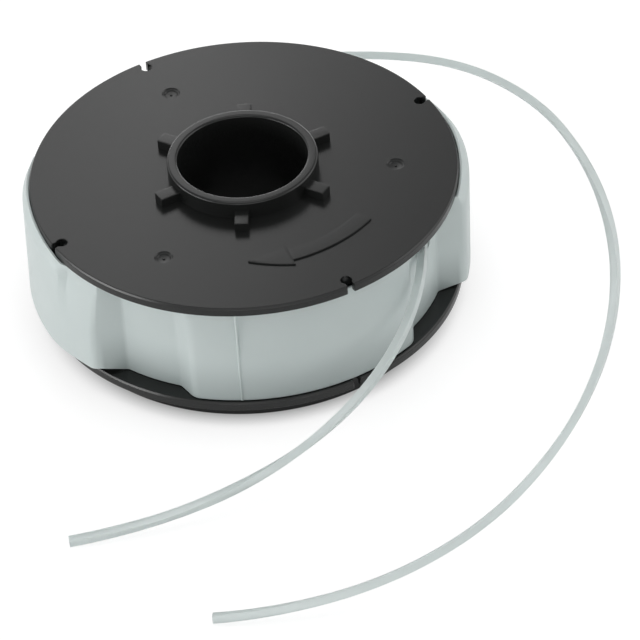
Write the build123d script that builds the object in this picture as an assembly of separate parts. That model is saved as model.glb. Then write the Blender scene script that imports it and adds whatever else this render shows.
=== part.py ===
from build123d import *
from math import cos, radians, sin, tan
import os

# Trimmer line spool: a twin-chamber spool for two lines, with the lines wound on
# it and a soft retaining band round them. Millimetres, +Z up. The origin is on the
# spool's axis at the level of the surface that it stands on, and one parking notch
# points along +X.

# Line
line_diameter = 2.0
turns_per_layer = 6
winding_clearance = 0.1
winding_ridge = 0.4

# Hub and bore
bore_radius = 14.65
hub_wall = 2.4
collar_height = 4.2
collar_edge = 0.35

# Flanges, foot and divider
flange_radius = 48.5
flange_thickness = 2.2
rim_edge = 0.4
foot_height = 4.7
foot_inset = 4.0
foot_wall = 2.0
divider_thickness = 0.6
divider_gap = 1.8
winding_depth = 3.4

# Ribs under the lower flange
rib_count = 6
rib_thickness = 1.6
rib_recess = 1.5

# Drive lugs round the collar
lug_count = 6
lug_width = 3.2
lug_reach = 4.7
lug_height = 2.2
lug_edge = 0.25

# Parking notches in both rims: a round seat with a narrower mouth
notch_count = 4
notch_seat_play = 0.6
notch_mouth_grip = 0.4
notch_depth = 2.3
notch_lip_edge = 0.45

# Moulding marks on the top face
gate_count = 3
gate_radius = 34.3
gate_first_angle = 90
gate_outer_diameter = 4.2
gate_outer_depth = 0.4
gate_inner_diameter = 3.0
gate_inner_depth = 0.8
gate_wall_run = 0.25
gate_pip_diameter = 0.8
gate_pip_height = 0.5

# Raised arrow for the direction of winding
arrow_radius = 32.75
arrow_shaft_width = 3.9
arrow_head_width = 7.1
arrow_tail_angle = -64.2
arrow_head_angle = -100.6
arrow_tip_angle = -117.3
arrow_height = 0.4

# Retaining band: four lobes with a narrow inset between each two
band_wall = 0.7
band_seat_gap = 0.2
band_ride_up = 1.9
band_rim_gap = 0.2
band_lean_height = 2.6
inset_depth = 4.0
inset_angles = [-55.4, 31.6, 124.6, 211.6]
inset_half_angle = 8.8
shoulder_half_angle = 14.0
lobe_offsets = [1.9, -0.8, 1.4, -0.8]
crown_angle = -20.0
crown_half_angle = 27.0
lobe_corner_radius = 2.5
inset_corner_radius = 1.5
seam_angle = -121.6
seam_width = 0.5
seam_height = 0.25

# Slots in the band through which the lines leave
slot_width = 7.0
front_slot_depth = 8.0
rear_slot_depth = 10.0
slot_turn = -0.6
slot_corner_radius = 1.5

# Routes of the two free line ends, from the winding to the cut tip
front_line_route = [
    (39.4, -7.0, 28.2),
    (37.2, -15.6, 28.0),
    (29.5, -28.4, 27.3),
    (19.9, -44.9, 25.1),
    (8.3, -55.5, 20.6),
    (-5.7, -62.3, 15.7),
    (-21.0, -65.4, 11.0),
    (-36.8, -65.2, 7.0),
    (-52.6, -62.5, 4.0),
    (-68.0, -57.7, 1.9),
    (-75.5, -54.7, 1.1),
]
rear_line_route = [
    (-39.4, 7.0, 13.2),
    (-37.2, 15.6, 13.3),
    (-29.5, 28.4, 13.8),
    (-18.5, 47.4, 15.2),
    (6.6, 58.8, 15.6),
    (31.8, 56.5, 15.5),
    (54.6, 46.2, 15.2),
    (73.6, 29.2, 15.4),
    (81.0, 4.9, 15.7),
    (78.3, -20.1, 15.7),
    (70.2, -43.8, 15.5),
    (57.5, -65.3, 15.0),
    (40.8, -84.0, 14.1),
    (20.5, -98.6, 12.5),
    (-2.8, -107.7, 9.8),
    (-27.7, -107.9, 6.3),
    (-51.1, -99.3, 2.6),
    (-61.4, -92.5, 1.1),
]
arc_share = 0.45

# Distance within which an edge counts as lying on a given circle
match_distance = 0.01

# Heights and radii that follow from the sizes above
hub_radius = bore_radius + hub_wall
chamber_width = turns_per_layer * line_diameter + 2 * winding_clearance
lower_face = foot_height + flange_thickness
divider_bottom = lower_face + chamber_width
divider_top = divider_bottom + divider_thickness
upper_face = divider_top + chamber_width
top_face = upper_face + flange_thickness
collar_top = top_face + collar_height
foot_radius = flange_radius - foot_inset
inset_radius = flange_radius - inset_depth
divider_radius = inset_radius - band_wall - divider_gap
winding_radius = divider_radius - winding_depth
band_bottom = lower_face + band_seat_gap
band_top = upper_face + band_ride_up
notch_radius = flange_radius - notch_depth


def polar(radius, angle):
    return (radius * cos(radians(angle)), radius * sin(radians(angle)))


def on_circle(radius, count, first_angle=0):
    return PolarLocations(radius, count, start_angle=first_angle)


def round_edges(solid, radius, height):
    """Circular edges of the solid with the given radius and height."""
    return [
        edge
        for edge in solid.edges().filter_by(GeomType.CIRCLE)
        if abs(edge.radius - radius) < match_distance
        and abs(edge.center().Z - height) < match_distance
    ]


def turned_spool():
    """Hub tube, both flanges, the divider and the foot ring as one turned profile."""
    profile = Polyline(
        (bore_radius, 0),
        (hub_radius, 0),
        (hub_radius, foot_height),
        (foot_radius - foot_wall, foot_height),
        (foot_radius - foot_wall, 0),
        (foot_radius, 0),
        (foot_radius, foot_height),
        (flange_radius, foot_height),
        (flange_radius, lower_face),
        (hub_radius, lower_face),
        (hub_radius, divider_bottom),
        (divider_radius, divider_bottom),
        (divider_radius, divider_top),
        (hub_radius, divider_top),
        (hub_radius, upper_face),
        (flange_radius, upper_face),
        (flange_radius, top_face),
        (hub_radius, top_face),
        (hub_radius, collar_top),
        (bore_radius, collar_top),
        close=True,
    )
    section = Plane.XZ * make_face(profile)
    spool = revolve(section, Axis.Z)
    rims = round_edges(spool, flange_radius, lower_face) + round_edges(spool, flange_radius, top_face)
    spool = fillet(rims, rim_edge)
    collar_rims = round_edges(spool, bore_radius, collar_top) + round_edges(spool, hub_radius, collar_top)
    return fillet(collar_rims, collar_edge)


def parking_notches(bottom):
    """Cutters for the notches of one flange whose underside is at the given height."""
    mouth_width = line_diameter - notch_mouth_grip
    seat = Circle((line_diameter + notch_seat_play) / 2)
    mouth = Rectangle(2 * notch_depth, mouth_width, align=(Align.MIN, Align.CENTER))
    flare = Pos(notch_depth, 0) * Rectangle(2 * notch_lip_edge, mouth_width + 2 * notch_lip_edge)
    lip_side = mouth_width / 2 + notch_lip_edge
    lips = [Pos(notch_depth - notch_lip_edge, side * lip_side) * Circle(notch_lip_edge) for side in (-1, 1)]
    cutter = extrude(seat + mouth + (flare - lips), 3 * flange_thickness)
    return [
        Pos(0, 0, bottom - flange_thickness) * place * cutter
        for place in on_circle(notch_radius, notch_count)
    ]


def drive_lugs():
    """Radial lugs that stand on the top face against the collar."""
    length = lug_reach + hub_wall / 2
    lug = Pos(hub_radius - hub_wall / 2, 0, top_face) * Box(
        length, lug_width, lug_height, align=(Align.MIN, Align.CENTER, Align.MIN)
    )
    lug = fillet(lug.edges().group_by(Axis.Z)[-1], lug_edge)
    return [place * lug for place in on_circle(0, lug_count)]


def gate_dish(diameter, start, depth):
    """One step of a gate mark, between two depths, with a sloping wall."""
    dish = Cone(
        diameter / 2 - gate_wall_run,
        diameter / 2,
        depth - start,
        align=(Align.CENTER, Align.CENTER, Align.MAX),
    )
    return Pos(0, 0, -start) * dish


def gate_marks():
    """Stepped round recesses with a pip of cut-off sprue left in the middle."""
    step = gate_dish(gate_outer_diameter, 0, gate_outer_depth)
    well = gate_dish(gate_inner_diameter, gate_outer_depth, gate_inner_depth)
    pip = Pos(0, 0, -gate_inner_depth) * Cylinder(
        gate_pip_diameter / 2, gate_pip_height, align=(Align.CENTER, Align.CENTER, Align.MIN)
    )
    mark = step + well - pip
    return [
        Pos(0, 0, top_face) * place * mark
        for place in on_circle(gate_radius, gate_count, gate_first_angle)
    ]


def winding_arrow():
    """Curved arrow raised on the top face, with its head along the winding."""
    shaft_inner = arrow_radius - arrow_shaft_width / 2
    shaft_outer = arrow_radius + arrow_shaft_width / 2
    head_inner = arrow_radius - arrow_head_width / 2
    head_outer = arrow_radius + arrow_head_width / 2
    shaft_middle = (arrow_tail_angle + arrow_head_angle) / 2
    head_middle = (arrow_head_angle + arrow_tip_angle) / 2
    tip = polar(arrow_radius, arrow_tip_angle)
    outline = [
        ThreePointArc(
            polar(shaft_outer, arrow_tail_angle),
            polar(shaft_outer, shaft_middle),
            polar(shaft_outer, arrow_head_angle),
        ),
        Line(polar(shaft_outer, arrow_head_angle), polar(head_outer, arrow_head_angle)),
        ThreePointArc(
            polar(head_outer, arrow_head_angle),
            polar((head_outer + arrow_radius) / 2, head_middle),
            tip,
        ),
        ThreePointArc(
            tip,
            polar((head_inner + arrow_radius) / 2, head_middle),
            polar(head_inner, arrow_head_angle),
        ),
        Line(polar(head_inner, arrow_head_angle), polar(shaft_inner, arrow_head_angle)),
        ThreePointArc(
            polar(shaft_inner, arrow_head_angle),
            polar(shaft_inner, shaft_middle),
            polar(shaft_inner, arrow_tail_angle),
        ),
        Line(polar(shaft_inner, arrow_tail_angle), polar(shaft_outer, arrow_tail_angle)),
    ]
    face = make_face(Wire(outline))
    return Pos(0, 0, top_face) * extrude(face, arrow_height)


def foot_ribs():
    """Radial ribs under the lower flange, from the hub to the foot ring."""
    length = foot_radius - foot_wall - hub_radius
    rib = Pos(hub_radius, 0, rib_recess) * Box(
        length, rib_thickness, foot_height - rib_recess,
        align=(Align.MIN, Align.CENTER, Align.MIN),
    )
    return [place * rib for place in on_circle(0, rib_count, 180 / rib_count)]


def spool_body():
    spool = turned_spool()
    for flange_bottom in (foot_height, upper_face):
        spool -= parking_notches(flange_bottom)
    spool -= gate_marks()
    spool += drive_lugs()
    spool += foot_ribs()
    return spool + winding_arrow()


def winding(bottom):
    """One line's turns as a single ridged roll that fills one chamber."""
    groove_radius = winding_radius - winding_ridge
    start = bottom + winding_clearance
    edges = []
    for turn in range(turns_per_layer):
        low = start + turn * line_diameter
        edges.append(
            ThreePointArc(
                (groove_radius, low),
                (winding_radius, low + line_diameter / 2),
                (groove_radius, low + line_diameter),
            )
        )
    high = start + turns_per_layer * line_diameter
    inner = hub_radius + winding_clearance
    edges.append(Line((groove_radius, high), (inner, high)))
    edges.append(Line((inner, high), (inner, start)))
    edges.append(Line((inner, start), (groove_radius, start)))
    section = Plane.XZ * make_face(Wire(edges))
    return revolve(section, Axis.Z)


def band_outline(offsets):
    """Outer plan of the band: lobes and insets in turn, each lobe offset from the rim."""
    following = inset_angles[1:] + [inset_angles[0] + 360]
    edges = []
    for centre, next_centre, offset_from_rim in zip(inset_angles, following, offsets):
        lobe_radius = flange_radius + offset_from_rim
        lobe_middle = (centre + next_centre) / 2
        inset_start = polar(inset_radius, centre - inset_half_angle)
        inset_end = polar(inset_radius, centre + inset_half_angle)
        lobe_start = polar(lobe_radius, centre + shoulder_half_angle)
        lobe_end = polar(lobe_radius, next_centre - shoulder_half_angle)
        next_inset = polar(inset_radius, next_centre - inset_half_angle)
        edges.append(ThreePointArc(inset_start, polar(inset_radius, centre), inset_end))
        edges.append(Line(inset_end, lobe_start))
        edges.append(ThreePointArc(lobe_start, polar(lobe_radius, lobe_middle), lobe_end))
        edges.append(Line(lobe_end, next_inset))
    return make_face(Wire(edges))


def from_axis(vertex):
    return (vertex.X**2 + vertex.Y**2) ** 0.5


def band_plan(offsets):
    """Outer plan of the band, with the corners of its lobes and insets rounded."""
    plan = band_outline(offsets)
    middle_radius = (inset_radius + flange_radius + min(offsets)) / 2
    inset_corners = [vertex for vertex in plan.vertices() if from_axis(vertex) < middle_radius]
    plan = fillet(inset_corners, inset_corner_radius)
    lobe_corners = [vertex for vertex in plan.vertices() if from_axis(vertex) > middle_radius]
    return fillet(lobe_corners, lobe_corner_radius)


def band_shell(upright_plan, leaning_plan):
    """A filled band: upright below, and going over from one plan to the other above."""
    lean_start = band_top - band_lean_height
    upright = Pos(0, 0, band_bottom) * extrude(upright_plan, lean_start - band_bottom)
    leaning = loft([Pos(0, 0, lean_start) * upright_plan, Pos(0, 0, band_top) * leaning_plan], ruled=True)
    return upright + leaning


def band_ring():
    """The band's wall, whose outer lobes lean in on the upper rim."""
    hug_offset = band_rim_gap + band_wall
    upright_plan = band_plan(lobe_offsets)
    leaning_plan = band_plan([min(lobe_offset, hug_offset) for lobe_offset in lobe_offsets])
    outside = band_shell(upright_plan, leaning_plan)
    inside = band_shell(offset(upright_plan, -band_wall), offset(leaning_plan, -band_wall))
    return outside - inside


def band_lid(tucked_top):
    """Room under the band's top edge: level where it is tucked in, crowned where it rides up."""
    rise = band_top - tucked_top
    half_width = flange_radius * sin(radians(crown_half_angle))
    crown_radius = (half_width**2 + rise**2) / (2 * rise)
    crown = Rot(0, 0, crown_angle) * Pos(0, 0, band_top - crown_radius) * Cylinder(
        crown_radius, 4 * flange_radius, rotation=(0, 90, 0)
    )
    level = Cylinder(2 * flange_radius, tucked_top, align=(Align.CENTER, Align.CENTER, Align.MIN))
    return level + crown


def exit_slot(angle, open_end, depth, closed_side):
    """Cutter for a slot from one edge of the band, with round corners at its closed side."""
    slot = Box(4 * inset_depth, slot_width, 2 * depth)
    closed_edges = slot.edges().filter_by(Axis.X).group_by(Axis.Z)[closed_side]
    slot = fillet(closed_edges, slot_corner_radius)
    return Rot(0, 0, angle) * Pos(inset_radius, 0, open_end) * slot


def retaining_band():
    """Soft band, tucked between the rims at two lobes and riding up outside them at two."""
    tucked_top = upper_face - band_seat_gap
    rim_room = Pos(0, 0, tucked_top) * Cylinder(
        flange_radius + band_rim_gap / 2, band_top, align=(Align.CENTER, Align.CENTER, Align.MIN)
    )
    lowest, highest = 0, -1
    front_slot = exit_slot(inset_angles[0] + slot_turn, tucked_top, front_slot_depth, lowest)
    rear_slot = exit_slot(inset_angles[2] + slot_turn, band_bottom, rear_slot_depth, highest)
    seam_radius = flange_radius + lobe_offsets[-1] - band_wall / 2
    seam = Rot(0, 0, seam_angle) * Pos(seam_radius, 0, band_bottom) * Box(
        band_wall / 2 + seam_height,
        seam_width,
        tucked_top - band_bottom,
        align=(Align.MIN, Align.CENTER, Align.MIN),
    )
    band = (band_ring() - rim_room) & band_lid(tucked_top)
    return band - front_slot - rear_slot + seam


def line_end(name, route):
    """A free end of round line: straight runs joined by the widest tangent arcs."""
    points = [Vector(*point) for point in route]
    radii = []
    for before, corner, after in zip(points, points[1:], points[2:]):
        turn = (corner - before).get_angle(after - corner)
        shorter = min((corner - before).length, (after - corner).length)
        radii.append(arc_share * shorter / tan(radians(turn / 2)))
    path = FilletPolyline(*points, radius=radii)
    section = Plane(points[0], z_dir=points[1] - points[0]) * Circle(line_diameter / 2)
    tube = sweep(section, path=path)
    filled = tube.volume / (section.area * path.length)
    print(name, "bend radii:", [round(radius, 1) for radius in radii])
    print(name, f"length: {path.length:.1f}, volume over section times length: {filled:.4f}")
    return tube


def main():
    os.makedirs("parts", exist_ok=True)
    parts = {
        "spool_body": spool_body(),
        "upper_winding": winding(divider_top),
        "lower_winding": winding(lower_face),
        "retaining_band": retaining_band(),
        "front_line_end": line_end("front_line_end", front_line_route),
        "rear_line_end": line_end("rear_line_end", rear_line_route),
    }
    for name, solid in parts.items():
        solid.label = name
        export_step(solid, f"parts/{name}.step")


main()
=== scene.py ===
from math import atan2, cos, hypot, pi, radians, sin

import bmesh
import bpy
from mathutils import Matrix, Vector


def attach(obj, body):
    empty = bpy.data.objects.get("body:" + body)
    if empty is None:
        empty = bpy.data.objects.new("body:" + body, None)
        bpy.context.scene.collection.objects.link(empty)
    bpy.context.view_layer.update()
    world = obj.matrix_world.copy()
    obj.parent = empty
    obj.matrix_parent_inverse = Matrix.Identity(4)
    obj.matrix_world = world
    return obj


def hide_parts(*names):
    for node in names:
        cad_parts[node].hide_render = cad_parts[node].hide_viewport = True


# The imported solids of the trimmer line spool, and the box that they fill
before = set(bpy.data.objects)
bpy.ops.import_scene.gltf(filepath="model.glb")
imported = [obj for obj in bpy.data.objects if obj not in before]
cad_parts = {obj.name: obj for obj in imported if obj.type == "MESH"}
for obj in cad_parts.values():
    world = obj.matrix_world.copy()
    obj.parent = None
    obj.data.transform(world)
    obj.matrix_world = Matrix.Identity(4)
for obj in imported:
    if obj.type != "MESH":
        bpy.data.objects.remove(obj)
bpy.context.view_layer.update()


# Spool body: one injection moulding of satin black plastic, with a bored hub, two flanges, a divider
# between the two line chambers and a ribbed foot. Lugs round the collar drive it, the notches in its
# rims park a line end, and an arrow and three gate marks are moulded in its top face. Millimetres.
bore_radius = 14.65
hub_radius = 17.05
foot_inner_radius = 42.5
foot_radius = 44.5
divider_radius = 42.0
flange_radius = 48.5
foot_height = 4.7
lower_face = 6.9
divider_bottom = 19.1
divider_top = 19.7
upper_face = 31.9
top_face = 34.1
collar_top = 38.3
sharp_edge = 0.2
soft_edge = 0.35
collar_edge = 0.6
rim_chamfer = 0.3
rim_chamfer_height = 0.55
rim_edge = 0.1
spool_steps = 192
rounding_steps = 5
merge_distance = 0.001
piece_merge_distance = 0.002
crease_angle = 32
millimetre = 0.001


def polar(radius, angle, height=0.0):
    """A point at a radius, an angle in degrees and a height above the floor."""
    return Vector((radius * cos(radians(angle)), radius * sin(radians(angle)), height))


def turned(corners, steps):
    """A closed profile of corners, each a radius, a height and a rounding, spun once round the axis."""
    shape = bmesh.new()
    verts = [shape.verts.new((radius, 0, height)) for radius, height, _ in corners]
    shape.faces.new(verts)
    for vert, (_, _, rounding) in zip(verts, corners):
        if rounding:
            bmesh.ops.bevel(
                shape, geom=[vert], offset=rounding, affect="VERTICES", segments=rounding_steps,
                profile=0.5, material=-1,
            )
    bmesh.ops.delete(shape, geom=shape.faces[:], context="FACES_ONLY")
    bmesh.ops.spin(
        shape, geom=shape.verts[:] + shape.edges[:], cent=(0, 0, 0), axis=(0, 0, 1),
        angle=2 * pi, steps=steps, use_merge=True,
    )
    bmesh.ops.remove_doubles(shape, verts=shape.verts, dist=merge_distance)
    bmesh.ops.recalc_face_normals(shape, faces=shape.faces)
    return shape


def raise_plan(shape, bottom, top):
    """Makes a flat plan at height zero a solid between two heights."""
    plan = shape.faces[:]
    bmesh.ops.translate(shape, vec=(0, 0, bottom), verts=shape.verts)
    raised = bmesh.ops.extrude_face_region(shape, geom=plan, use_keep_orig=True)["geom"]
    lifted = [item for item in raised if isinstance(item, bmesh.types.BMVert)]
    bmesh.ops.translate(shape, vec=(0, 0, top - bottom), verts=lifted)
    bmesh.ops.recalc_face_normals(shape, faces=shape.faces)


def ring_of(shape, count, first_angle=0.0):
    """The shape and its copies, evenly spaced round the axis."""
    bmesh.ops.rotate(
        shape, cent=(0, 0, 0), matrix=Matrix.Rotation(radians(first_angle), 3, "Z"), verts=shape.verts
    )
    original = shape.verts[:] + shape.edges[:] + shape.faces[:]
    for number in range(1, count):
        copied = bmesh.ops.duplicate(shape, geom=original)["geom"]
        verts = [item for item in copied if isinstance(item, bmesh.types.BMVert)]
        turn = Matrix.Rotation(2 * pi * number / count, 3, "Z")
        bmesh.ops.rotate(shape, cent=(0, 0, 0), matrix=turn, verts=verts)
    return shape


def carve(body, tool, operation):
    """Joins the tool's shape to the body, or cuts it out, and gives back the new body."""
    holders = []
    for shape in (body, tool):
        mesh = bpy.data.meshes.new("carving")
        shape.to_mesh(mesh)
        shape.free()
        holder = bpy.data.objects.new("carving", mesh)
        bpy.context.scene.collection.objects.link(holder)
        holders.append(holder)
    boolean = holders[0].modifiers.new("carving", "BOOLEAN")
    boolean.object = holders[1]
    boolean.operation = operation
    boolean.solver = "EXACT"
    carved = bmesh.new()
    carved.from_object(holders[0], bpy.context.evaluated_depsgraph_get())
    for holder in holders:
        mesh = holder.data
        bpy.data.objects.remove(holder)
        bpy.data.meshes.remove(mesh)
    return carved


def new_piece(name, shape, finish, nodes):
    """Makes a shape in millimetres a piece in metres that stands for its solids."""
    bmesh.ops.remove_doubles(shape, verts=shape.verts, dist=piece_merge_distance)
    bmesh.ops.recalc_face_normals(shape, faces=shape.faces)
    bmesh.ops.scale(shape, vec=(millimetre, millimetre, millimetre), verts=shape.verts)
    mesh = bpy.data.meshes.new(name)
    shape.to_mesh(mesh)
    shape.free()
    mesh.shade_smooth()
    mesh.set_sharp_from_angle(angle=radians(crease_angle))
    mesh.materials.append(finish)
    piece = bpy.data.objects.new(name, mesh)
    bpy.context.scene.collection.objects.link(piece)
    evened = piece.modifiers.new("evened", "WEIGHTED_NORMAL")
    evened.keep_sharp = True
    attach(piece, "root")
    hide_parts(*nodes)


class Finish:
    """A socket of a material's nodes. Arithmetic on it adds Math nodes."""

    def __init__(self, tree, socket=None):
        self.tree = tree
        self.socket = socket

    def node(self, kind, settings, inputs, output=0):
        """Adds a node with its settings and the values or links of its sockets."""
        added = self.tree.nodes.new("ShaderNode" + kind)
        for setting, value in settings.items():
            setattr(added, setting, value)
        for name, value in inputs.items():
            self.feed(added.inputs[name], value)
        return Finish(self.tree, added.outputs[output])

    def feed(self, socket, value):
        """Links a finish to a socket, or sets the socket to a value."""
        if isinstance(value, Finish):
            self.tree.links.new(value.socket, socket)
        else:
            socket.default_value = value

    def math(self, operation, first, second):
        return self.node("Math", {"operation": operation}, {0: first, 1: second})

    def __add__(self, other):
        return self.math("ADD", self, other)

    def __rsub__(self, other):
        return self.math("SUBTRACT", other, self)

    def __mul__(self, other):
        return self.math("MULTIPLY", self, other)

    __radd__ = __add__
    __rmul__ = __mul__

    def place(self):
        """The point on the piece, in metres."""
        return self.node("TexCoord", {}, {}, "Object")

    def noise(self, place, grains, detail):
        """Noise with the given number of grains in a metre and of finer layers in them."""
        return self.node("TexNoise", {}, {"Vector": place, "Scale": grains, "Detail": detail})

    def bump(self, height, strength, depth):
        """The surface's direction, roughened by a pattern of heights with a depth in metres."""
        return self.node("Bump", {}, {"Strength": strength, "Distance": depth, "Height": height})

    def colour(self, share, first, second):
        """A colour between two colours, each a finish or three numbers."""
        mixed = {"data_type": "RGBA", "clamp_factor": True}
        ends = [end if isinstance(end, Finish) else (*end, 1) for end in (first, second)]
        return self.node("Mix", mixed, {0: share, 6: ends[0], 7: ends[1]}, 2)

    def steps(self, value, low, high):
        """The value's way from low to high, as 0 to 1."""
        eased = {"interpolation_type": "SMOOTHSTEP"}
        return self.node("MapRange", eased, {"Value": value, "From Min": low, "From Max": high})


def new_finish(name, **constant):
    """A material with its even values set, its shader node and a start for its patterns."""
    material = bpy.data.materials.new(name)
    material.use_nodes = True
    shader = material.node_tree.nodes["Principled BSDF"]
    for socket, value in constant.items():
        shader.inputs[socket.replace("_", " ")].default_value = value
    return material, shader, Finish(material.node_tree)


spool_profile = [
    (bore_radius, 0.0, soft_edge),
    (hub_radius, 0.0, soft_edge),
    (hub_radius, foot_height, soft_edge),
    (foot_inner_radius, foot_height, soft_edge),
    (foot_inner_radius, 0.0, soft_edge),
    (foot_radius, 0.0, soft_edge),
    (foot_radius, foot_height, soft_edge),
    (flange_radius, foot_height, sharp_edge),
    (flange_radius, lower_face - rim_chamfer_height, rim_edge),
    (flange_radius - rim_chamfer, lower_face, rim_edge),
    (hub_radius, lower_face, soft_edge),
    (hub_radius, divider_bottom, soft_edge),
    (divider_radius, divider_bottom, sharp_edge),
    (divider_radius, divider_top, sharp_edge),
    (hub_radius, divider_top, soft_edge),
    (hub_radius, upper_face, soft_edge),
    (flange_radius, upper_face, sharp_edge),
    (flange_radius, top_face - rim_chamfer_height, rim_edge),
    (flange_radius - rim_chamfer, top_face, rim_edge),
    (hub_radius, top_face, 0.0),
    (hub_radius, collar_top, collar_edge),
    (bore_radius, collar_top, collar_edge),
]
spool = turned(spool_profile, spool_steps)

# Drive lugs: six short blocks that stand on the top face against the collar
lug_count = 6
lug_width = 3.2
lug_start = 16.0
lug_end = 21.75
lug_height = 2.2
lug_edge = 0.25
lug_root = 0.3
lug = bmesh.new()
bmesh.ops.create_cube(lug, size=1.0)
bmesh.ops.scale(lug, vec=(lug_end - lug_start, lug_width, lug_height + lug_root), verts=lug.verts)
lug_middle = ((lug_start + lug_end) / 2, 0, top_face + (lug_height - lug_root) / 2)
bmesh.ops.translate(lug, vec=lug_middle, verts=lug.verts)
lug_base = top_face - lug_root / 2
lug_edges = [edge for edge in lug.edges if max(vert.co.z for vert in edge.verts) > lug_base]
bmesh.ops.bevel(
    lug, geom=lug_edges, offset=lug_edge, affect="EDGES", segments=2, profile=0.5, material=-1
)
spool = carve(spool, ring_of(lug, lug_count), "UNION")

# Ribs: six walls under the lower flange, from the hub to the foot ring
rib_count = 6
rib_thickness = 1.6
rib_bottom = 1.5
rib_edge = 0.2
rib_root = 0.4
rib = bmesh.new()
bmesh.ops.create_cube(rib, size=1.0)
rib_length = foot_inner_radius - hub_radius + 2 * rib_root
rib_top = foot_height + rib_root
bmesh.ops.scale(rib, vec=(rib_length, rib_thickness, rib_top - rib_bottom), verts=rib.verts)
rib_middle = ((hub_radius + foot_inner_radius) / 2, 0, (rib_bottom + rib_top) / 2)
bmesh.ops.translate(rib, vec=rib_middle, verts=rib.verts)
rib_edges = [edge for edge in rib.edges if max(vert.co.z for vert in edge.verts) < foot_height]
bmesh.ops.bevel(
    rib, geom=rib_edges, offset=rib_edge, affect="EDGES", segments=2, profile=0.5, material=-1
)
spool = carve(spool, ring_of(rib, rib_count, 180 / rib_count), "UNION")

# Arrow: a curved direction mark, raised on the top face
arrow_radius = 32.75
arrow_shaft_width = 3.9
arrow_head_width = 7.1
arrow_tail_angle = -64.2
arrow_head_angle = -100.6
arrow_tip_angle = -117.3
arrow_height = 0.4
arrow_root = 0.3
arrow_edge = 0.15
arrow_edge_radians = 1.0
arrow_merge_distance = 0.01
arrow_overlap = 0.2
arrow_shaft_steps = 24
arrow_head_steps = 12
arrow_tip_share = 0.02


def arrow_strip(width, start, end, steps, final_share):
    """A flat strip of the arrow between two angles that narrows to a share of its width."""
    strip = bmesh.new()
    ends = [strip.verts.new(polar(arrow_radius + side * width / 2, start)) for side in (-1, 1)]
    strip.edges.new(ends)
    bmesh.ops.spin(
        strip, geom=strip.verts[:] + strip.edges[:], cent=(0, 0, 0), axis=(0, 0, 1),
        angle=radians(end - start), steps=steps,
    )
    for vert in strip.verts:
        angle = atan2(vert.co.y, vert.co.x)
        along = (angle - radians(start)) / radians(end - start)
        from_middle = (hypot(vert.co.x, vert.co.y) - arrow_radius) * (1 + along * (final_share - 1))
        vert.co = Vector((cos(angle), sin(angle), 0)) * (arrow_radius + from_middle)
    bmesh.ops.remove_doubles(strip, verts=strip.verts, dist=arrow_merge_distance)
    raise_plan(strip, top_face - arrow_root, top_face + arrow_height)
    crest = top_face + arrow_height / 2
    edges = [
        edge for edge in strip.edges
        if min(vert.co.z for vert in edge.verts) > crest
        and edge.calc_face_angle(0) > arrow_edge_radians
    ]
    bmesh.ops.bevel(
        strip, geom=edges, offset=arrow_edge, affect="EDGES", segments=2, profile=0.5, material=-1
    )
    return strip


shaft = arrow_strip(
    arrow_shaft_width, arrow_tail_angle, arrow_head_angle - arrow_overlap, arrow_shaft_steps, 1.0
)
head = arrow_strip(
    arrow_head_width, arrow_head_angle, arrow_tip_angle, arrow_head_steps, arrow_tip_share
)
arrow = carve(shaft, head, "UNION")
spool = carve(spool, arrow, "UNION")

# Parking notches: a round seat with a narrower mouth, four in each rim
notch_count = 4
notch_radius = 46.2
notch_seat_radius = 1.3
notch_mouth = 1.6
notch_lip_edge = 0.45
notch_clear = 0.9
notch_steps = 40
for flange_bottom, flange_top in ((foot_height, lower_face), (upper_face, top_face)):
    seat = bmesh.new()
    bmesh.ops.create_circle(seat, cap_ends=True, radius=notch_seat_radius, segments=notch_steps)
    bmesh.ops.translate(seat, vec=(notch_radius, 0, 0), verts=seat.verts)
    raise_plan(seat, flange_bottom - notch_clear, flange_top + notch_clear)
    spool = carve(spool, ring_of(seat, notch_count), "DIFFERENCE")
    mouth = bmesh.new()
    half = notch_mouth / 2
    wide = notch_mouth
    beyond = flange_radius + 2 * notch_mouth
    mouth_plan = [
        (notch_radius, -half), (flange_radius, -half), (flange_radius, -wide), (beyond, -wide),
        (beyond, wide), (flange_radius, wide), (flange_radius, half), (notch_radius, half),
    ]
    corners = [mouth.verts.new((x, y, 0)) for x, y in mouth_plan]
    mouth.faces.new(corners)
    bmesh.ops.bevel(
        mouth, geom=[corners[1], corners[6]], offset=notch_lip_edge, affect="VERTICES",
        segments=4, profile=0.5, material=-1,
    )
    raise_plan(mouth, flange_bottom - notch_clear, flange_top + notch_clear)
    spool = carve(spool, ring_of(mouth, notch_count), "DIFFERENCE")

# The upper edges of the notches are rounded, seat and mouth each by a cutter with a flared top
lip_rounding = 0.2
lip_gap = 0.02
flare_spread = 0.5
flare_reach = 1.0
trough_length = 4.0
lip_top = top_face + lip_gap
flare_bottom = top_face - flare_reach
flare_top = top_face + flare_reach
flare_radius = notch_seat_radius + flare_spread
flare_profile = [
    (0.0, flare_bottom, 0.0),
    (notch_seat_radius, flare_bottom, 0.0),
    (notch_seat_radius, lip_top, lip_rounding),
    (flare_radius, lip_top, 0.0),
    (flare_radius, flare_top, 0.0),
    (0.0, flare_top, 0.0),
]
flare = turned(flare_profile, notch_steps)
bmesh.ops.translate(flare, vec=(notch_radius, 0, 0), verts=flare.verts)
spool = carve(spool, ring_of(flare, notch_count), "DIFFERENCE")
trough = bmesh.new()
half = notch_mouth / 2
wide = half + flare_spread
trough_plan = [
    (-half, flare_bottom), (half, flare_bottom), (half, lip_top), (wide, lip_top),
    (wide, flare_top), (-wide, flare_top), (-wide, lip_top), (-half, lip_top),
]
corners = [trough.verts.new((notch_radius, y, z)) for y, z in trough_plan]
trough.faces.new(corners)
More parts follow.
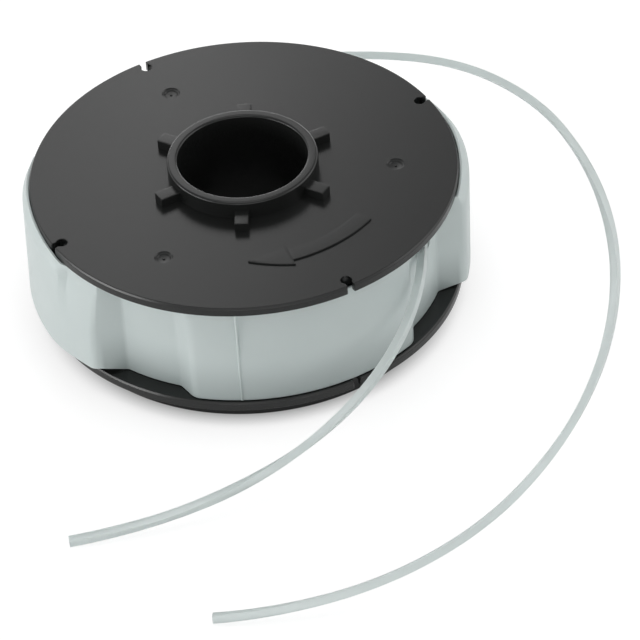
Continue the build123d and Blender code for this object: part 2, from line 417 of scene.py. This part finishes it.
bmesh.ops.bevel(
    trough, geom=[corners[2], corners[7]], offset=lip_rounding, affect="VERTICES",
    segments=rounding_steps, profile=0.5, material=-1,
)
extruded = bmesh.ops.extrude_face_region(trough, geom=trough.faces[:], use_keep_orig=True)["geom"]
outer_end = [item for item in extruded if isinstance(item, bmesh.types.BMVert)]
bmesh.ops.translate(trough, vec=(trough_length, 0, 0), verts=outer_end)
bmesh.ops.recalc_face_normals(trough, faces=trough.faces)
spool = carve(spool, ring_of(trough, notch_count), "DIFFERENCE")

# Gate marks: stepped round recesses, each with a pip of cut-off sprue in the middle
gate_count = 3
gate_radius = 34.3
gate_first_angle = 90
gate_steps = 40
gate_profile = [
    (0.0, -0.35, 0.0),
    (0.25, -0.35, 0.1),
    (0.35, -0.58, 0.0),
    (1.4, -0.55, 0.1),
    (1.58, -0.3, 0.04),
    (1.88, -0.28, 0.04),
    (2.1, 0.0, 0.0),
    (2.1, 1.0, 0.0),
    (0.0, 1.0, 0.0),
]
gate = turned(gate_profile, gate_steps)
bmesh.ops.translate(gate, vec=(gate_radius, 0, top_face), verts=gate.verts)
spool = carve(spool, ring_of(gate, gate_count, gate_first_angle), "DIFFERENCE")

# Satin black: two near blacks that flow into each other, an almost even gloss and a fine grain
black_tones = ((0.0105, 0.0112, 0.0108), (0.0130, 0.0138, 0.0133))
black_roughness = 0.24
black_roughness_spread = 0.02
black_satin, black_shader, black = new_finish(
    "black_satin_plastic", IOR=1.5, Specular_IOR_Level=0.4
)
place = black.place()
flow = black.noise(place, grains=45.0, detail=2.0)
clouds = black.noise(place, grains=260.0, detail=4.0)
grain = black.noise(place, grains=3200.0, detail=2.0)
black.feed(black_shader.inputs["Base Color"], black.colour(flow, *black_tones))
black.feed(black_shader.inputs["Roughness"], black_roughness + black_roughness_spread * clouds)
black.feed(black_shader.inputs["Normal"], black.bump(grain, strength=0.08, depth=0.0001))
new_piece("spool_moulding", spool, black_satin, ["spool_body"])


# Windings: two lengths of nylon line, each wound into its own chamber in layers of six turns.
# The outer layer is a real helix and the layers under it are a plain core.
line_radius = 1.0
turns_per_layer = 6
layer_radius = 37.6
core_radius = 37.2
core_inner_radius = 17.15
core_edge = 0.3
turn_steps = 96
line_sides = 12
winding_clearance = 0.1
nylon_tones = ((0.78, 0.845, 0.835), (0.84, 0.90, 0.89))
nylon_roughness = 0.26
nylon_roughness_spread = 0.1

nylon, nylon_shader, strand = new_finish(
    "nylon_line", IOR=1.53, Transmission_Weight=0.4, Subsurface_Weight=0.2, Subsurface_Scale=0.0008,
    Subsurface_Radius=(1.0, 1.0, 1.0),
)
place = strand.place()
drawn = strand.noise(place, grains=140.0, detail=2.0)
worn = strand.noise(place, grains=700.0, detail=3.0)
scuffs = strand.noise(place, grains=2400.0, detail=2.0)
strand.feed(nylon_shader.inputs["Base Color"], strand.colour(drawn, *nylon_tones))
strand.feed(nylon_shader.inputs["Roughness"], nylon_roughness + nylon_roughness_spread * worn)
strand.feed(nylon_shader.inputs["Normal"], strand.bump(scuffs, strength=0.06, depth=0.0001))

for name, node, chamber_bottom in (
    ("upper_turns", "upper_winding", divider_top), ("lower_turns", "lower_winding", lower_face)
):
    lowest = chamber_bottom + winding_clearance
    highest = lowest + 2 * line_radius * turns_per_layer
    turns = bmesh.new()
    bmesh.ops.create_circle(turns, cap_ends=False, radius=line_radius, segments=line_sides)
    upright = Matrix.Rotation(pi / 2, 3, "X")
    bmesh.ops.rotate(turns, cent=(0, 0, 0), matrix=upright, verts=turns.verts)
    bmesh.ops.translate(turns, vec=(layer_radius, 0, lowest + line_radius), verts=turns.verts)
    turn_count = turns_per_layer - 1
    rise = 2 * line_radius / turn_steps
    bmesh.ops.spin(
        turns, geom=turns.verts[:] + turns.edges[:], cent=(0, 0, 0), axis=(0, 0, 1),
        dvec=(0, 0, rise), angle=2 * pi * turn_count, steps=turn_steps * turn_count,
    )
    bmesh.ops.holes_fill(turns, edges=[edge for edge in turns.edges if edge.is_boundary], sides=0)
    core_profile = [
        (core_inner_radius, lowest, 0.0),
        (core_radius, lowest, core_edge),
        (core_radius, highest, core_edge),
        (core_inner_radius, highest, 0.0),
    ]
    core = turned(core_profile, turn_steps)
    core_mesh = bpy.data.meshes.new("core")
    core.to_mesh(core_mesh)
    core.free()
    turns.from_mesh(core_mesh)
    bpy.data.meshes.remove(core_mesh)
    new_piece(name, turns, nylon, [node])


# Retaining band: a strip of soft milky polyethylene, welded to a ring and pressed into four lobes. It
# holds the wound lines in place. Two lobes sit between the rims and two stand outside them, and each
# line leaves through a slot in an inset.
band_bottom = 7.1
tucked_top = 31.7
band_top = 33.8
band_wall = 0.55
rim_hug_radius = 49.15
crown_angle = -20.0
crown_half_width = 22.0
lean_height = 2.6
tuck_height = 12.0
tuck_radius = 46.6
tuck_spread = 1.6
lift_share = 0.35
ride_gain = 4
end_rise = 1.5
end_start = 0.7
end_reach = 0.6
sway = (-0.022, 0.011)
inset_radius = 44.5
inset_angles = (-55.4, 31.6, 124.6, 211.6)
inset_half_angle = 8.8
shoulder_half_angle = 14.0
lobe_radii = (50.8, 47.7, 50.15, 47.7)
lobe_corner_tangent = 1.2
inset_corner_tangent = 0.5
wall_levels = (0.1, 0.2, 0.35, 0.5, 0.7, 0.88, 0.91, 0.94, 0.97, 1.0)
lobe_steps = 32
lobe_corner_steps = 8
inset_steps = 5
inset_corner_steps = 4
slot_width = 6.5
slot_turn = -0.3
slot_corner_radius = 1.5
slot_reach = 16.0
front_slot_depth = 8.0
rear_slot_depth = 10.0


def arc_points(shape, radius, start, end, steps):
    """A row of joined points along an arc."""
    first = shape.verts.new(polar(radius, start))
    spun = bmesh.ops.spin(
        shape, geom=[first], cent=(0, 0, 0), axis=(0, 0, 1), angle=radians(end - start), steps=steps
    )
    return first, [item for item in spun["geom_last"] if isinstance(item, bmesh.types.BMVert)][0]


band = bmesh.new()
arc_ends = []
lobe_corners = []
inset_corners = []
following = inset_angles[1:] + (inset_angles[0] + 360,)
for middle, next_middle, lobe_radius in zip(inset_angles, following, lobe_radii):
    inset_ends = arc_points(
        band, inset_radius, middle - inset_half_angle, middle + inset_half_angle, inset_steps
    )
    lobe_ends = arc_points(
        band, lobe_radius, middle + shoulder_half_angle, next_middle - shoulder_half_angle, lobe_steps
    )
    inset_corners.extend(inset_ends)
    lobe_corners.extend(lobe_ends)
    arc_ends.extend([inset_ends, lobe_ends])
for (_, end), (start, _) in zip(arc_ends, arc_ends[1:] + arc_ends[:1]):
    band.edges.new((end, start))
bmesh.ops.contextual_create(band, geom=band.edges[:])
for corners, tangent, steps in (
    (inset_corners, inset_corner_tangent, inset_corner_steps),
    (lobe_corners, lobe_corner_tangent, lobe_corner_steps),
):
    bmesh.ops.bevel(
        band, geom=corners, offset=tangent, affect="VERTICES", segments=steps, profile=0.5, material=-1
    )
bmesh.ops.delete(band, geom=band.faces[:], context="FACES_ONLY")
bmesh.ops.translate(band, vec=(0, 0, band_bottom), verts=band.verts)
loop = band.edges[:]
for below, level in zip((0.0,) + wall_levels, wall_levels):
    raised = bmesh.ops.extrude_edge_only(band, edges=loop)["geom"]
    loop = [item for item in raised if isinstance(item, bmesh.types.BMEdge)]
    lifted = [item for item in raised if isinstance(item, bmesh.types.BMVert)]
    bmesh.ops.translate(band, vec=(0, 0, (level - below) * (tucked_top - band_bottom)), verts=lifted)


def smooth_share(value):
    """The share from 0 to 1, eased at both ends."""
    share = min(max(value, 0.0), 1.0)
    return share * share * (3 - 2 * share)


# The lobes outside the rims ride up over the upper rim, lean on it and sway a little to one side.
# Elsewhere the strip's upper edge is tucked in under the rim.
crown_across = polar(1, crown_angle + 90)
for vert in band.verts:
    radius = vert.co.xy.length
    outside = smooth_share((radius - lobe_radii[1]) / (rim_hug_radius - lobe_radii[1]))
    across = vert.co.dot(crown_across) / crown_half_width
    ride_up = outside * (band_top - tucked_top) * max(1 - across * across, 0.0)
    level = (vert.co.z - band_bottom) / (tucked_top - band_bottom)
    vert.co.z += ride_up * (lift_share + (1 - lift_share) * level)
    near_end = smooth_share((abs(across) - end_start) / end_reach)
    vert.co.z += end_rise * outside * near_end * (1 - level)
    riding = smooth_share(ride_gain * ride_up)
    edge_radius = tuck_radius + outside * tuck_spread
    edge_radius += riding * (rim_hug_radius - edge_radius)
    bent_height = tuck_height + riding * (lean_height - tuck_height)
    lean = smooth_share((vert.co.z - tucked_top - ride_up) / bent_height + 1)
    leaned = min(radius, radius + (edge_radius - radius) * lean)
    vert.co.xy *= leaned / radius
    vert.co.xy += Vector(sway) * outside * (tucked_top - vert.co.z)
bmesh.ops.recalc_face_normals(band, faces=band.faces)
if sum(face.normal.dot(face.calc_center_median() * Vector((1, 1, 0))) for face in band.faces) < 0:
    bmesh.ops.reverse_faces(band, faces=band.faces)
bmesh.ops.solidify(band, geom=band.faces[:], thickness=band_wall)
bmesh.ops.recalc_face_normals(band, faces=band.faces)

for inset_angle, open_end, slot_depth in (
    (inset_angles[0], tucked_top, front_slot_depth),
    (inset_angles[2], band_bottom, rear_slot_depth),
):
    slot = bmesh.new()
    bmesh.ops.create_cube(slot, size=1.0)
    bmesh.ops.scale(slot, vec=(slot_reach, slot_width, 2 * slot_depth), verts=slot.verts)
    rounded = [
        edge for edge in slot.edges if abs(edge.verts[0].co.x - edge.verts[1].co.x) > slot_reach / 2
    ]
    bmesh.ops.bevel(
        slot, geom=rounded, offset=slot_corner_radius, affect="EDGES", segments=6,
        profile=0.5, material=-1,
    )
    bmesh.ops.translate(slot, vec=(inset_radius, 0, open_end), verts=slot.verts)
    slot_place = Matrix.Rotation(radians(inset_angle + slot_turn), 3, "Z")
    bmesh.ops.rotate(slot, cent=(0, 0, 0), matrix=slot_place, verts=slot.verts)
    band = carve(band, slot, "DIFFERENCE")

# Seam: the weld that closes the strip to a ring, a fine bead on the front lobe
seam_angle = -121.6
seam_width = 0.5
seam_proud = 0.25
seam_rounding = 0.225
seam_radius = lobe_radii[-1] - band_wall / 2
seam = bmesh.new()
bmesh.ops.create_cube(seam, size=1.0)
seam_depth = band_wall / 2 + seam_proud
bmesh.ops.scale(seam, vec=(seam_depth, seam_width, tucked_top - band_bottom), verts=seam.verts)
seam_front = [edge for edge in seam.edges if min(vert.co.x for vert in edge.verts) > 0]
bmesh.ops.bevel(
    seam, geom=seam_front, offset=seam_rounding, affect="EDGES", segments=3, profile=0.5, material=-1
)
bmesh.ops.translate(
    seam, vec=(seam_radius + seam_depth / 2, 0, (tucked_top + band_bottom) / 2), verts=seam.verts
)
seam_place = Matrix.Rotation(radians(seam_angle), 3, "Z")
bmesh.ops.rotate(seam, cent=(0, 0, 0), matrix=seam_place, verts=seam.verts)
band = carve(band, seam, "UNION")

# Where the strip sits inside the rims, its lower part is painted darker: painted shade for the shade
# that falls low on the strip beside the black flange
milky_tones = ((0.57, 0.64, 0.63), (0.63, 0.70, 0.69))
painted_shade_tone = (0.36, 0.41, 0.405)
painted_shade_radii = (0.0494, 0.0484)
painted_shade_heights = (0.0195, 0.005)
milky_roughness = 0.34
milky_roughness_spread = 0.1
milky, milky_shader, sheet = new_finish(
    "milky_polyethylene", IOR=1.51, Subsurface_Weight=0.3, Subsurface_Scale=0.0015,
    Subsurface_Radius=(1.0, 1.0, 1.0),
)
place = sheet.place()
level_place = sheet.node("VectorMath", {"operation": "MULTIPLY"}, {0: place, 1: (1, 1, 0)})
from_axis = sheet.node("VectorMath", {"operation": "LENGTH"}, {0: level_place}, "Value")
height = sheet.node("SeparateXYZ", {}, {"Vector": place}, "Z")
# Painted shade: the strip's colour turns to the darker tone inside the rims and towards its bottom
painted_shade = sheet.steps(from_axis, *painted_shade_radii) * sheet.steps(height, *painted_shade_heights)
haze = sheet.noise(place, grains=70.0, detail=3.0)
smears = sheet.noise(place, grains=420.0, detail=4.0)
ripples = sheet.noise(place, grains=900.0, detail=3.0)
hazy = sheet.colour(haze, *milky_tones)
sheet.feed(milky_shader.inputs["Base Color"], sheet.colour(painted_shade, hazy, painted_shade_tone))
sheet.feed(milky_shader.inputs["Roughness"], milky_roughness + milky_roughness_spread * smears)
sheet.feed(milky_shader.inputs["Normal"], sheet.bump(ripples, strength=0.05, depth=0.0002))
new_piece("band_strip", band, milky, ["retaining_band"])


# Line ends: the free ends of the two lengths of nylon line, of square section and slowly twisted. Each
# comes off its winding, passes through its slot in the band and lies on the floor with a plain cut tip.
# Route points in metres, each with the line's twist there in degrees.
line_half_diagonal = 1.25
section_quarter = [(0.95, 0.07), (0.53, 0.53), (0.07, 0.95)]
front_route = [
    (0.0394, -0.0070, 0.0282, -5),
    (0.0372, -0.0156, 0.0280, -10),
    (0.0295, -0.0284, 0.0273, -20),
    (0.0199, -0.0449, 0.0251, -30),
    (0.0083, -0.0555, 0.0206, -40),
    (-0.0057, -0.0623, 0.0157, -50),
    (-0.0210, -0.0654, 0.0110, -80),
    (-0.0368, -0.0652, 0.0070, -115),
    (-0.0526, -0.0625, 0.0040, -160),
    (-0.0680, -0.0577, 0.0019, -140),
    (-0.0760, -0.0545, 0.0013, -140),
]
rear_route = [
    (-0.0394, 0.0070, 0.0132, 35),
    (-0.0372, 0.0156, 0.0133, 45),
    (-0.0295, 0.0284, 0.0138, 55),
    (-0.0185, 0.0474, 0.0152, 75),
    (0.0066, 0.0588, 0.0156, 90),
    (0.0318, 0.0565, 0.0155, 100),
    (0.0546, 0.0462, 0.0152, 100),
    (0.0736, 0.0292, 0.0154, 90),
    (0.0810, 0.0049, 0.0157, 70),
    (0.0783, -0.0201, 0.0157, 55),
    (0.0702, -0.0438, 0.0155, 5),
    (0.0575, -0.0653, 0.0150, -30),
    (0.0408, -0.0840, 0.0141, -50),
    (0.0205, -0.0986, 0.0125, -80),
    (-0.0028, -0.1077, 0.0098, -95),
    (-0.0277, -0.1079, 0.0063, -100),
    (-0.0511, -0.0993, 0.0026, -110),
    (-0.0614, -0.0925, 0.0013, -120),
]
for name, node, route, length in (
    ("front_line", "front_line_end", front_route, 0.1485),
    ("rear_line", "rear_line_end", rear_route, 0.3844),
):
    curve = bpy.data.curves.new(name, "CURVE")
    curve.dimensions = "3D"
    curve.twist_mode = "Z_UP"
    curve.bevel_mode = "PROFILE"
    curve.bevel_depth = line_half_diagonal * millimetre
    curve.bevel_resolution = 5
    for across, along in section_quarter:
        curve.bevel_profile.points.add(across, along)
    curve.bevel_profile.update()
    curve.resolution_u = 16
    curve.use_fill_caps = True
    spline = curve.splines.new("NURBS")
    spline.points.add(len(route) - 1)
    for point, (x, y, z, twist) in zip(spline.points, route):
        point.co = (x, y, z, 1.0)
        point.tilt = radians(twist)
    spline.order_u = 3
    spline.use_endpoint_u = True
    spline.use_smooth = True
    curve.materials.append(nylon)
    line = bpy.data.objects.new(name, curve)
    bpy.context.scene.collection.objects.link(line)
    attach(line, "root")
    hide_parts(node)


# Floor: a white studio table that keeps the spool's soft shadow. The light that it throws back is white.
# What the camera, gloss and clear plastic see of it is a lighter shadow, lifted to white by a glow that
# lights nothing.
floor_half = 3.0
floor_glow = 0.72
floor_gloss_share = 0.5
table_white = (0.88, 0.88, 0.88)
table_shown = (0.45, 0.45, 0.45)
painted_foot_shade = (0.040, 0.050)
floor_shape = bmesh.new()
bmesh.ops.create_grid(floor_shape, x_segments=1, y_segments=1, size=floor_half)
floor_mesh = bpy.data.meshes.new("floor")
floor_shape.to_mesh(floor_mesh)
floor_shape.free()
floor = bpy.data.objects.new("floor", floor_mesh)
bpy.context.scene.collection.objects.link(floor)


def seen_share(finish, gloss_share):
    """1 for rays from the camera or through clear plastic, a share for those from gloss, else 0."""
    kinds = ("Is Camera Ray", "Is Transmission Ray", "Is Glossy Ray")
    camera_ray, clear_ray, glossy_ray = [finish.node("LightPath", {}, {}, kind) for kind in kinds]
    seen_straight = finish.math("MAXIMUM", camera_ray, clear_ray)
    return finish.math("MAXIMUM", seen_straight, gloss_share * glossy_ray)


white_table, table_shader, table = new_finish(
    "white_table", Roughness=1.0, Specular_IOR_Level=0.0
)
seen = seen_share(table, floor_gloss_share)
table.feed(table_shader.inputs["Base Color"], table.colour(seen, table_white, table_shown))
place = table.place()
from_middle = table.node("VectorMath", {"operation": "LENGTH"}, {0: place}, "Value")
# The glow fades out between 50 and 40 mm from the axis: painted shade on the floor under the spool and
# round the edge of its foot
outside_painted_shade = table.steps(from_middle, *painted_foot_shade)
strength = floor_glow * seen * outside_painted_shade
glow = table.node("Emission", {}, {"Color": (1, 1, 1, 1), "Strength": strength})
lit = Finish(white_table.node_tree, table_shader.outputs[0])
shown = table.node("AddShader", {}, {0: lit, 1: glow})
table.feed(white_table.node_tree.nodes["Material Output"].inputs["Surface"], shown)
floor_mesh.materials.append(white_table)


# Camera: in front of the spool and above it, with a long lens
camera_place = (-0.36798513, -0.74834947, 0.6899697)
camera_azimuth = -27.2
camera_elevation = 40.0705
camera_roll = -4.1124
camera_data = bpy.data.cameras.new("camera")
camera_data.sensor_width = 36.0
camera_data.lens = 265.02
camera_data.clip_start = 0.05
camera_data.clip_end = 30.0
camera = bpy.data.objects.new("camera", camera_data)
camera.matrix_world = (
    Matrix.Translation(camera_place)
    @ Matrix.Rotation(radians(camera_azimuth), 4, "Z")
    @ Matrix.Rotation(radians(90 - camera_elevation), 4, "X")
    @ Matrix.Rotation(radians(camera_roll), 4, "Z")
)
bpy.context.scene.collection.objects.link(camera)
bpy.context.scene.camera = camera


# Light: a soft box overhead and one on the right, long panels close to the floor on the left, in front
# and behind, and two small cards behind, whose soft reflection lies on the top face. Azimuths count from
# the camera's right, and powers are in watts.
light_target = Vector((0, 0, 0.03))
soft_boxes = [
    ("overhead_box", 270, 88, 0.9, 0.60, 0.60, 1.3),
    ("right_box", 3, 22, 0.9, 0.80, 0.70, 1.75),
    ("left_panel", 195, 8, 0.9, 0.90, 0.14, 3.2),
    ("front_panel", 275, 6, 0.9, 0.80, 0.12, 0.65),
    ("back_strip", 90, 4, 0.9, 1.00, 0.12, 1.9),
    ("back_card", 102, 37, 0.6, 0.20, 0.20, 0.15),
    ("low_back_card", 90, 32, 0.6, 0.12, 0.12, 0.05),
]
for name, azimuth, elevation, distance, width, height, power in soft_boxes:
    light_data = bpy.data.lights.new(name, "AREA")
    light_data.shape = "RECTANGLE"
    light_data.size = width
    light_data.size_y = height
    light_data.energy = power
    light = bpy.data.objects.new(name, light_data)
    across = distance * cos(radians(elevation))
    above = distance * sin(radians(elevation))
    light.location = light_target + polar(across, azimuth + camera_azimuth, above)
    light.rotation_euler = (light_target - light.location).to_track_quat("-Z", "Y").to_euler()
    bpy.context.scene.collection.objects.link(light)

# Studio: white surroundings for the camera and for reflections, greyer overhead for reflections, and an
# even fill light from all round
fill_light = 0.45
ceiling_dimming = 0.55
ceiling_start = 0.2
ceiling_full = 0.6
studio = bpy.data.worlds.new("studio")
studio.use_nodes = True
bpy.context.scene.world = studio
backdrop = studio.node_tree.nodes["Background"]
backdrop.inputs["Color"].default_value = (1, 1, 1, 1)
surroundings = Finish(studio.node_tree)
heading = surroundings.node("TexCoord", {}, {}, "Generated")
upward = surroundings.node("SeparateXYZ", {}, {0: heading}, "Z")
gloss_white = 1 - ceiling_dimming * surroundings.steps(upward, ceiling_start, ceiling_full)
shown_white = seen_share(surroundings, gloss_white)
surroundings.feed(backdrop.inputs["Strength"], surroundings.math("MAXIMUM", shown_white, fill_light))

bpy.context.scene.view_settings.view_transform = "Standard"
